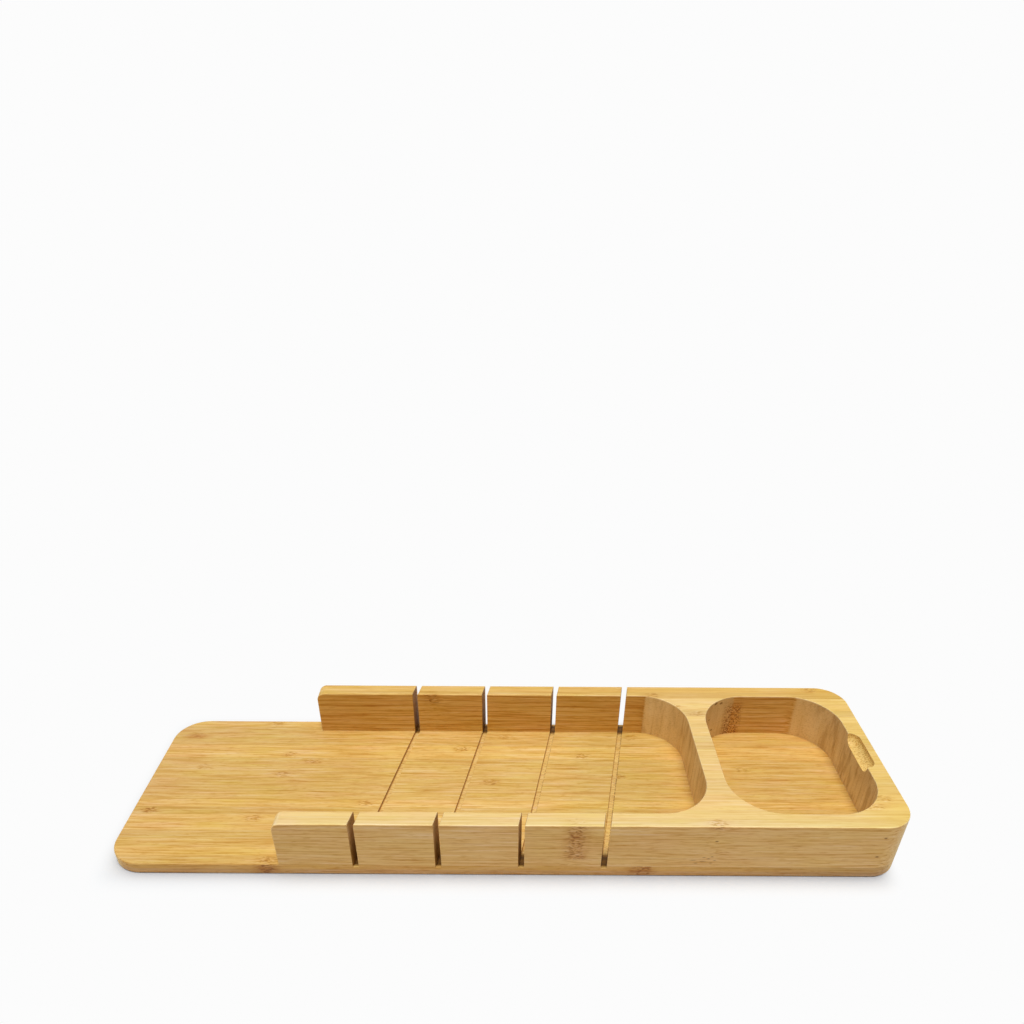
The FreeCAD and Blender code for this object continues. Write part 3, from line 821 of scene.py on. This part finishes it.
def press_bamboo(name, settings, colours, stock):
    """Side-pressed bamboo, sanded and oiled: a satin of fine lines along the strips.

    Colours are the main one and the rearmost strips'.
    """
    material = bpy.data.materials.new(name)
    material.use_nodes = True
    tree = material.node_tree
    tree.nodes.clear()
    wood = Bamboo(tree, settings, stock)
    skin = tone_strips(wood, colours)
    skin = stain(tree, skin, stock.shade(wood))
    skin = draw_fibres(wood, skin)
    skin = draw_joins(wood, skin)
    skin = cut_ends(wood, skin)
    skin = dot_bundles(wood, skin, colours[0])
    skin = draw_knuckles(wood, skin)
    skin = scorch_walls(wood, skin)
    skin = scorch_floors(wood, skin, colours[0])
    add(tree, "ShaderNodeOutputMaterial", {}, {"Surface": sand_and_oil(wood, skin)})
    return material


def dress(names, material):
    """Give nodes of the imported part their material."""
    for name in names:
        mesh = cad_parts[name].data
        mesh.materials.clear()
        mesh.materials.append(material)


# Pieces and stage


class BREADBOARD_OT_base_board(bpy.types.Operator):
    """Finish the base board"""

    bl_idname = "breadboard.base_board"
    bl_label = "Base board"

    def execute(self, context):
        look = context.scene.bread_board_bamboo
        colours = look.base_colour, look.base_colour
        name = "side_pressed_bamboo_base"
        dress(["base_board"], press_bamboo(name, look, colours, BASE_STOCK))
        return {"FINISHED"}


class BREADBOARD_OT_rails(bpy.types.Operator):
    """Finish the eight rail blocks"""

    bl_idname = "breadboard.rails"
    bl_label = "Rail blocks"

    def execute(self, context):
        look = context.scene.bread_board_bamboo
        colours = look.frame_colour, look.rear_colour
        name = "side_pressed_bamboo_rails"
        dress(RAILS, press_bamboo(name, look, colours, RAIL_STOCK))
        return {"FINISHED"}


class BREADBOARD_OT_end_frame(bpy.types.Operator):
    """Finish the routed end frame"""

    bl_idname = "breadboard.end_frame"
    bl_label = "End frame"

    def execute(self, context):
        look = context.scene.bread_board_bamboo
        colours = look.frame_colour, look.rear_colour
        name = "side_pressed_bamboo_frame"
        dress(["end_frame"], press_bamboo(name, look, colours, FRAME_STOCK))
        return {"FINISHED"}


def seen_rays(tree):
    """1 for rays that show the background: camera, glossy and transmission rays."""
    path = add(tree, "ShaderNodeLightPath", {}, [], "Is Camera Ray")
    shown = path
    for other in ("Is Glossy Ray", "Is Transmission Ray"):
        shown = add(tree, *MOST, [shown, path.node.outputs[other]])
    return shown


def paint_floor(colour):
    """Matt pale floor. It keeps the shadow near the board, deepened by a painted contact shadow
    from ambient occlusion, and fades to the plain background.
    """
    material = bpy.data.materials.new("matt_white_studio_paper")
    material.use_nodes = True
    tree = material.node_tree
    tree.nodes.clear()
    centre = (CAD_BOX[0] + CAD_BOX[1]) / 2
    half = (CAD_BOX[1] - CAD_BOX[0]) / 2
    # The shadow fades from a box that starts and ends inside the board's outline.
    inset_left, inset_right = 6 * MM, 18 * MM
    fade, contact_reach = (1 * MM, 20 * MM), 18 * MM
    shift = (inset_right - inset_left) / 2 - centre.x
    inset = (inset_right + inset_left) / 2 - half.x
    place = add(tree, "ShaderNodeTexCoord", {}, [], "Object")
    place = add(tree, *MOVE, [place, (shift, -centre.y, 0)])
    place = add(tree, *FOLD, [place])
    place = add(tree, *MOVE, [place, (inset, -half.y, 0)])
    away = add(tree, *LENGTH, [add(tree, *CLIP, [place, (0, 0, 0)])], "Value")
    shown = seen_rays(tree)
    plain = add(tree, *SMOOTH, [away, *fade, 0, shown])
    # Ambient occlusion darkens the paper's colour near the board: a painted contact shadow over
    # the real one.
    painted_contact_shadow = {"Distance": contact_reach}
    painted_contact_shadow = add(tree, "ShaderNodeAmbientOcclusion", {"samples": 12}, painted_contact_shadow, "AO")
    painted_contact_shadow = add(tree, *STRETCH, [painted_contact_shadow, 0.45, 1.0])
    # A little blue takes back the warm light that the board's front throws on the paper.
    shade = (0.49 * colour[0], 0.525 * colour[1], 0.575 * colour[2], 1)
    open_paper = (0.97 * colour[0], 0.985 * colour[1], colour[2], 1)
    paper = add(tree, *COVER, {0: painted_contact_shadow, MIX_A: shade, MIX_B: open_paper}, MIX_RESULT)
    # Other rays meet a greyer floor, so that it doesn't light the board from below.
    grey = (0.8, 0.8, 0.8, 1)
    paper = add(tree, *COVER, {0: shown, MIX_A: grey, MIX_B: paper}, MIX_RESULT)
    paper = add(tree, "ShaderNodeBsdfDiffuse", {}, {"Color": paper})
    glow = add(tree, "ShaderNodeEmission", {}, {"Color": (*colour, 1), "Strength": 1.0})
    mixed = add(tree, "ShaderNodeMixShader", {}, [plain, paper, glow])
    add(tree, "ShaderNodeOutputMaterial", {}, {"Surface": mixed})
    return material


class BREADBOARD_OT_stage(bpy.types.Operator):
    """Make the floor, the soft light and the camera"""

    bl_idname = "breadboard.stage"
    bl_label = "Stage"

    def execute(self, context):
        scene = context.scene
        studio = scene.bread_board_stage
        self.make_camera(scene, studio)
        self.make_floor(scene, studio)
        self.make_light(scene, studio)
        scene.view_settings.view_transform = "Standard"
        return {"FINISHED"}

    def make_camera(self, scene, studio):
        # Solved from the photograph's straight edges and round corners. The board is low in it.
        place = Vector((4.44, -421.57, 387.18)) * MM
        down, turn, roll = (math.radians(angle) for angle in (34.255, 0.021, -0.346))
        camera = bpy.data.objects.new("camera", bpy.data.cameras.new("camera"))
        scene.collection.objects.link(camera)
        camera.matrix_world = (
            Matrix.Translation(place)
            @ Matrix.Rotation(-turn, 4, "Z")
            @ Matrix.Rotation(math.pi / 2 - down, 4, "X")
            @ Matrix.Rotation(-roll, 4, "Z")
        )
        camera.data.lens = studio.lens
        camera.data.sensor_width = 36
        camera.data.shift_y = 0.1641
        camera.data.clip_start = 0.01
        scene.camera = camera

    def make_floor(self, scene, studio):
        half, gap = 6, 0.1 * MM
        corners = [(-half, -half, 0), (half, -half, 0), (half, half, 0), (-half, half, 0)]
        mesh = bpy.data.meshes.new("studio_floor")
        mesh.from_pydata(corners, [], [(0, 1, 2, 3)])
        mesh.materials.append(paint_floor(studio.floor_colour))
        floor = bpy.data.objects.new("studio_floor", mesh)
        floor.location.z = CAD_BOX[0].z - gap
        scene.collection.objects.link(floor)

    def make_light(self, scene, studio):
        name = "overhead_softbox"
        key = bpy.data.objects.new(name, bpy.data.lights.new(name, "SUN"))
        key.data.energy = studio.key_share * math.pi / math.sin(studio.key_height)
        key.data.angle = studio.key_spread
        key.rotation_euler = (math.pi / 2 - studio.key_height, 0, 0)
        scene.collection.objects.link(key)

        world = bpy.data.worlds.new("studio_room")
        world.use_nodes = True
        scene.world = world
        tree = world.node_tree
        tree.nodes.clear()
        shown = seen_rays(tree)
        strength = add(tree, *STRETCH, [shown, 0, 1, studio.room_share, 1.0])
        colour = (*studio.floor_colour, 1)
        room = add(tree, "ShaderNodeBackground", {}, {"Color": colour, "Strength": strength})
        add(tree, "ShaderNodeOutputWorld", {}, {"Surface": room})


class BREADBOARD_PT_panel(bpy.types.Panel):
    """Lists the finishes and the stage"""

    bl_idname = "BREADBOARD_PT_panel"
    bl_label = "Bread board"
    bl_space_type = "VIEW_3D"
    bl_region_type = "UI"
    bl_category = "Bread board"

    def draw(self, context):
        layout = self.layout
        for settings in (context.scene.bread_board_bamboo, context.scene.bread_board_stage):
            for name in settings.__annotations__:
                layout.prop(settings, name)
        for operator in STEPS:
            layout.operator(operator.bl_idname)


STEPS = (
    BREADBOARD_OT_stage,
    BREADBOARD_OT_base_board,
    BREADBOARD_OT_rails,
    BREADBOARD_OT_end_frame,
)
CLASSES = (BambooSettings, StageSettings, *STEPS, BREADBOARD_PT_panel)


def register():
    for cls in CLASSES:
        bpy.utils.register_class(cls)
    bpy.types.Scene.bread_board_bamboo = PointerProperty(type=BambooSettings)
    bpy.types.Scene.bread_board_stage = PointerProperty(type=StageSettings)


def unregister():
    del bpy.types.Scene.bread_board_stage
    del bpy.types.Scene.bread_board_bamboo
    for cls in reversed(CLASSES):
        bpy.utils.unregister_class(cls)


def main():
    register()
    for operator in STEPS:
        group, name = operator.bl_idname.split(".")
        getattr(getattr(bpy.ops, group), name)()
    bpy.context.view_layer.update()


if __name__ == "__main__":
    main()
